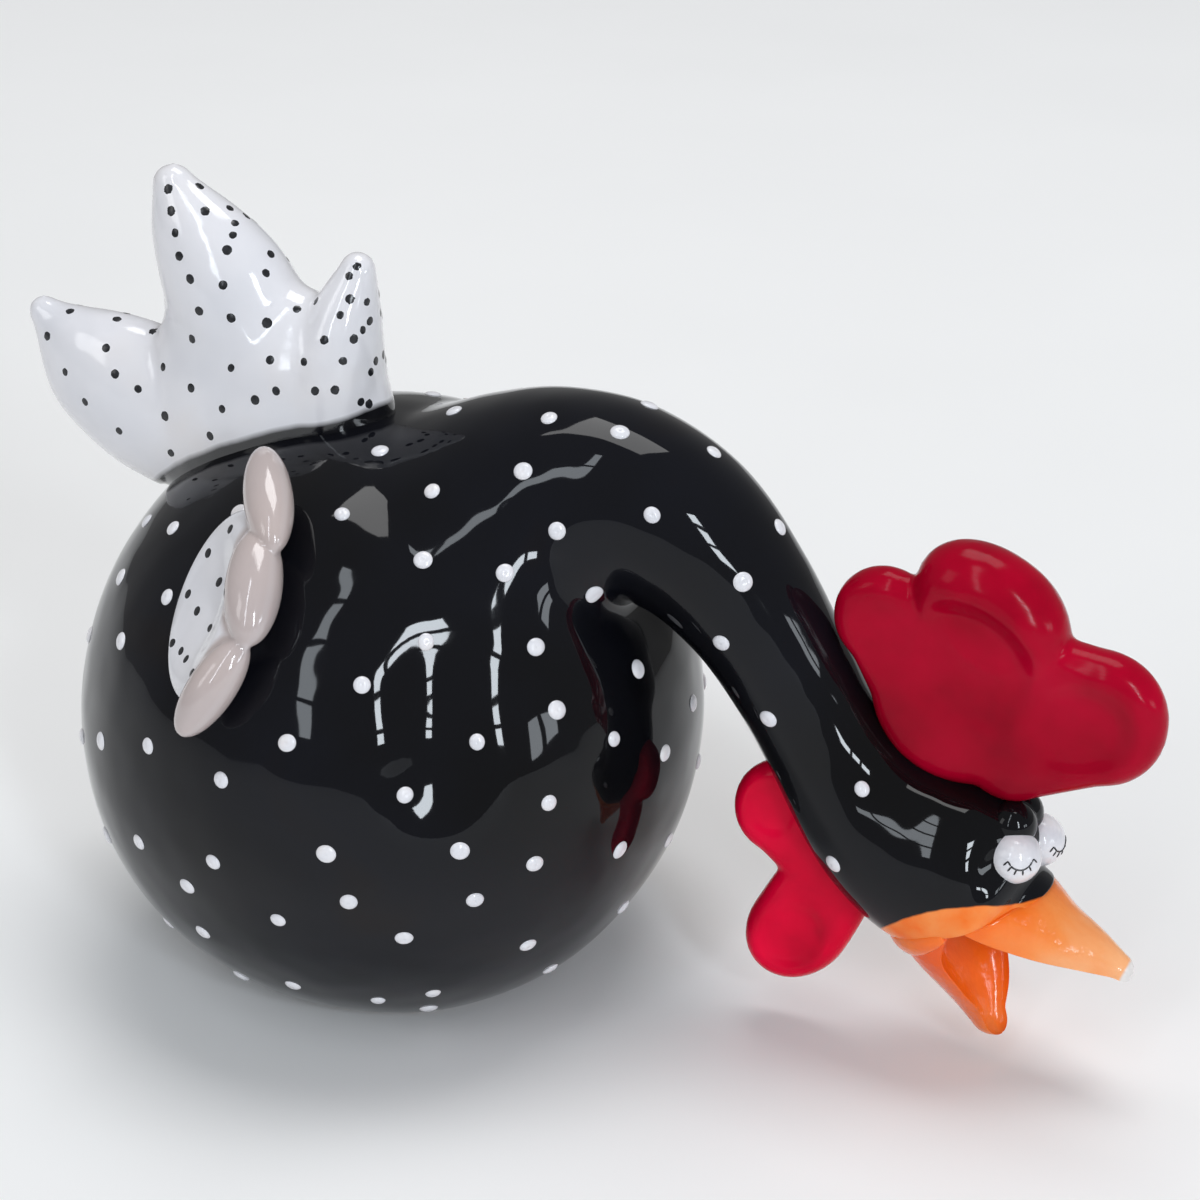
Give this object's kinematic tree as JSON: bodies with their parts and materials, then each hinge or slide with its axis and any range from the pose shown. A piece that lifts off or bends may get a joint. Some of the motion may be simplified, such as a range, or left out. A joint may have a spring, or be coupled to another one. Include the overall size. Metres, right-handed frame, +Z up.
{
  "type": "pottery hen ornament",
  "caption": "Glazed pottery hen bent over to peck: round spotted pot, arched neck, puffed tail, lobed wings, red comb and wattle, open beak.",
  "frame": {"origin": "middle of the flat foot, on the table", "axes": "+Z up, +X the way the hen heads, +Y to the hen's left"},
  "size_m": [0.2343, 0.1432, 0.161],
  "materials": {
    "black_glaze": "gloss",
    "white_glaze": "gloss",
    "red_glaze": "gloss",
    "orange_glaze": "gloss",
    "white_slip": "gloss"
  },
  "bodies": {
    "root": {"body_shell": "black_glaze", "neck_and_head": "black_glaze", "upper_beak": "orange_glaze", "lower_beak": "orange_glaze", "right_eye": "white_glaze", "left_eye": "white_glaze", "comb": "red_glaze", "wattle": "red_glaze", "tail": "white_glaze", "right_wing": "white_glaze", "left_wing": "white_glaze", "body_dots": "white_slip", "neck_dots": "white_slip"}
  },
  "joints": []
}
